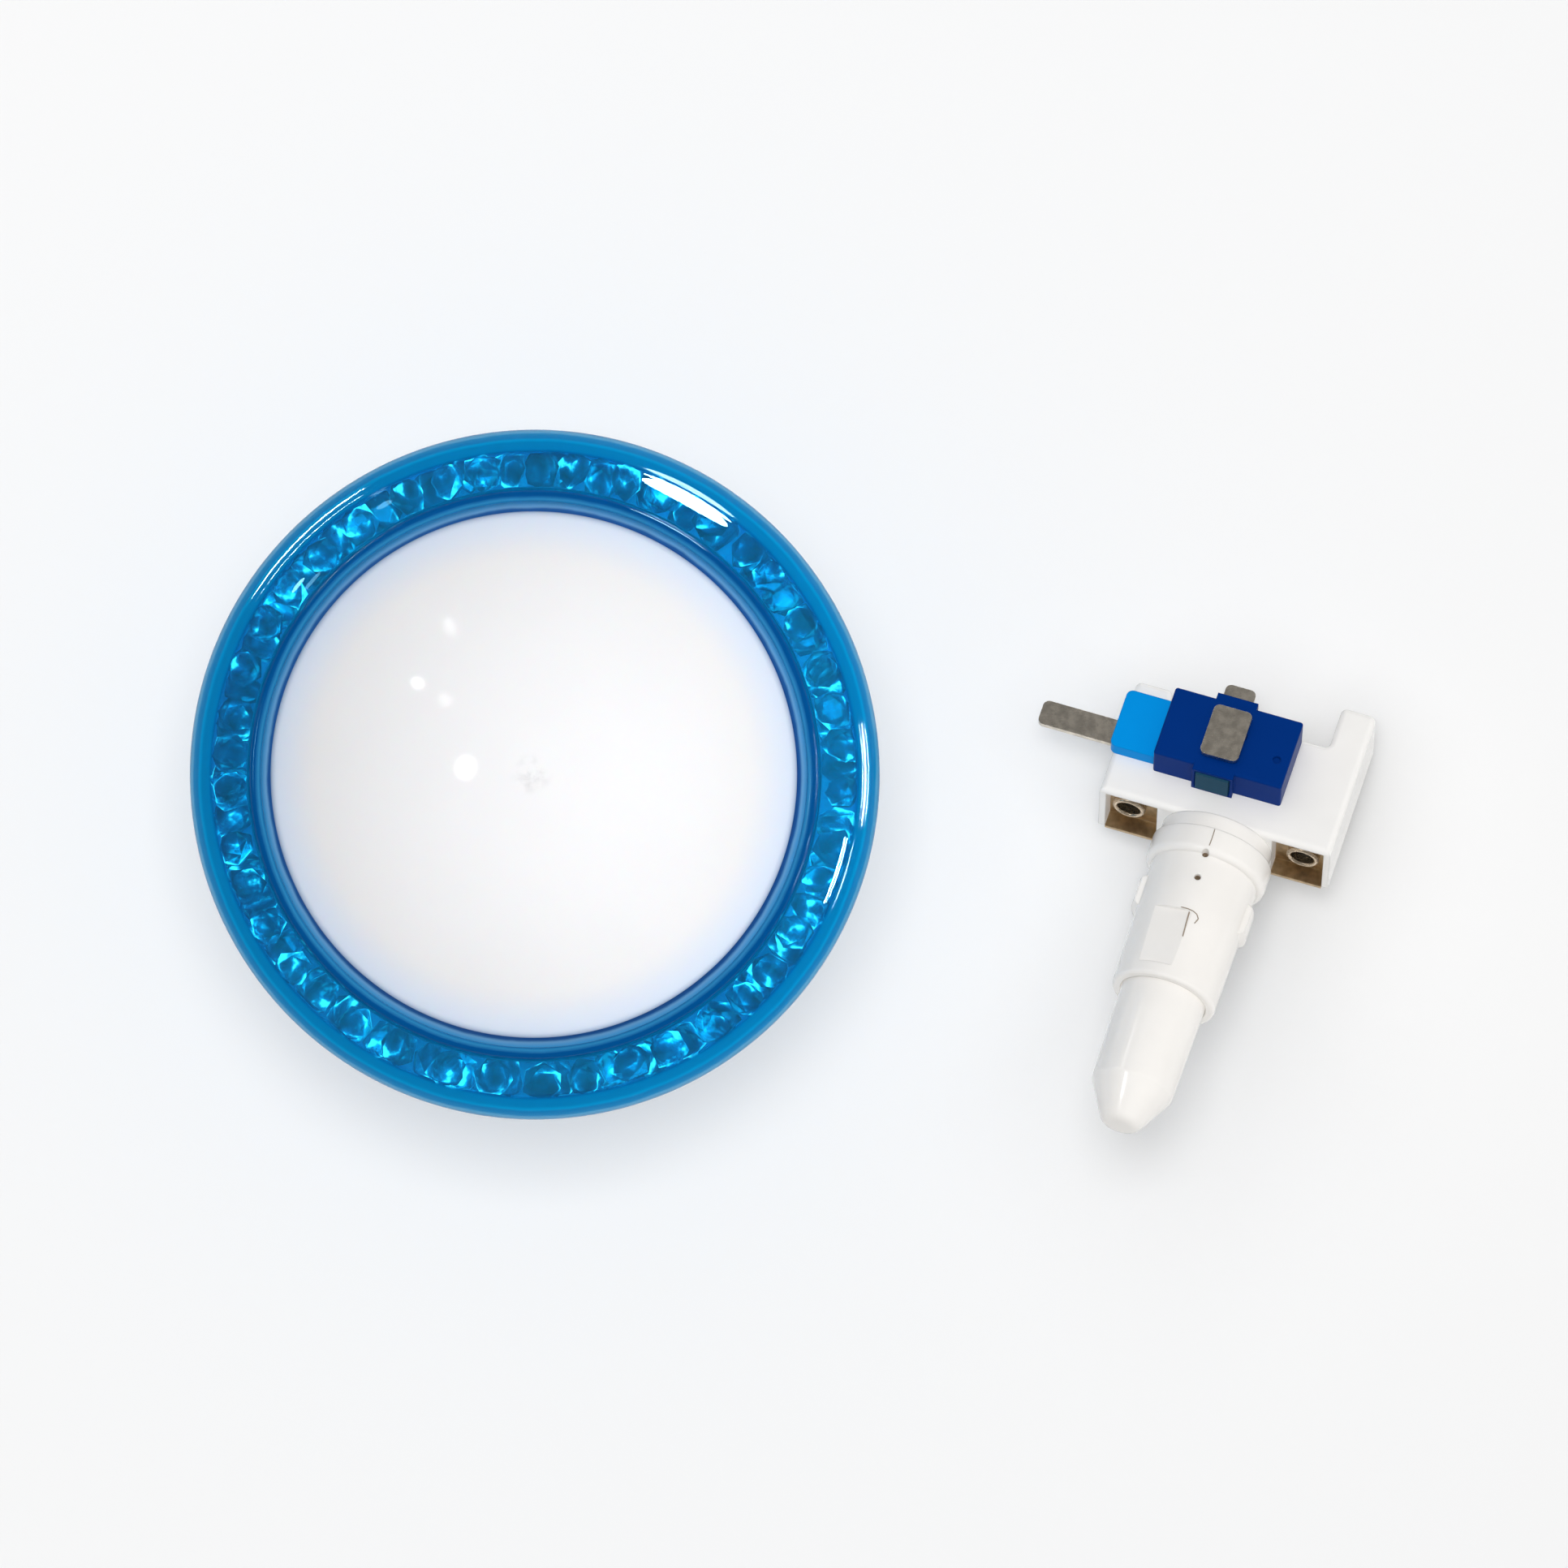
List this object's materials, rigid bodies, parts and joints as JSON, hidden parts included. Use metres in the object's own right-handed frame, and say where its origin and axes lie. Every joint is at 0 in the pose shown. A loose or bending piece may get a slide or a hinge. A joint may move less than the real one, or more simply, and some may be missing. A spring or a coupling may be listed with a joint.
{
  "type": "arcade push button",
  "caption": "Arcade push button with a lit dome, a clear ring of cut stones and a threaded panel barrel, its lamp-and-switch holder drawn out beside it.",
  "frame": {"origin": "where the dome's axis meets the front face of the panel", "axes": "+Z along the dome's axis, out of the panel; +X from the button towards the holder"},
  "size_m": [0.1733, 0.1027, 0.0751],
  "materials": {
    "clear_blue": "clear moulded plastic, polished",
    "cut_stone": "cut and polished stones",
    "deep_blue": "moulded plastic",
    "black_nut": "moulded plastic",
    "spring_steel": "drawn wire",
    "plunger_white": "moulded plastic",
    "dome_white": "milky moulded plastic, polished",
    "holder_white": "moulded plastic",
    "lamp_milk": "milky moulded plastic",
    "lamp_glass": "clear lamp body",
    "nickel": "nickel-plated strip",
    "dark_nickel": "dull plated strip",
    "switch_cyan": "moulded plastic",
    "switch_blue": "moulded plastic",
    "pad_grey": "moulded plastic"
  },
  "bodies": {
    "body": {"base_housing": "deep_blue", "bezel_ring": "clear_blue", "crystal_stones": "cut_stone", "panel_nut": "black_nut", "return_spring": "spring_steel", "holder_frame": "holder_white", "lamp_terminal_left": "dark_nickel", "lamp_terminal_right": "dark_nickel", "terminal_rivet_left": "nickel", "terminal_rivet_right": "nickel", "lamp_tube": "holder_white", "lamp_bullet": "lamp_milk", "lamp": "lamp_glass", "switch_case": "switch_cyan", "switch_cover": "switch_blue", "common_terminal": "nickel", "top_terminal": "nickel", "rear_terminal": "nickel"},
    "dome": {"plunger": "plunger_white", "dome_cap": "dome_white"},
    "pad": {"push_pad": "pad_grey"},
    "leaf": {"contact_leaf": "nickel"}
  },
  "joints": [
    {"name": "dome_press", "type": "slide", "parent": "body", "child": "dome", "axis": [0, 0, -1], "range_m": [0, 0.0045], "stiffness_N_per_m": 400, "springref_m": -0.004, "deforming": ["return_spring"]},
    {"name": "pad_press", "type": "slide", "parent": "body", "child": "pad", "axis": [0.3049, 0.8486, -0.4324], "range_m": [0, 0.001], "stiffness_N_per_m": 1500, "springref_m": -0.0005},
    {"name": "leaf_swing", "type": "hinge", "parent": "body", "child": "leaf", "pos_m": [0.09417, 0.00389, -0.0208], "axis": [0, 0.454, 0.891], "range_deg": [0, 12.5]}
  ],
  "couplings": [
    {"joint": "leaf_swing", "follows": "pad_press", "rad_per_m": 215}
  ]
}
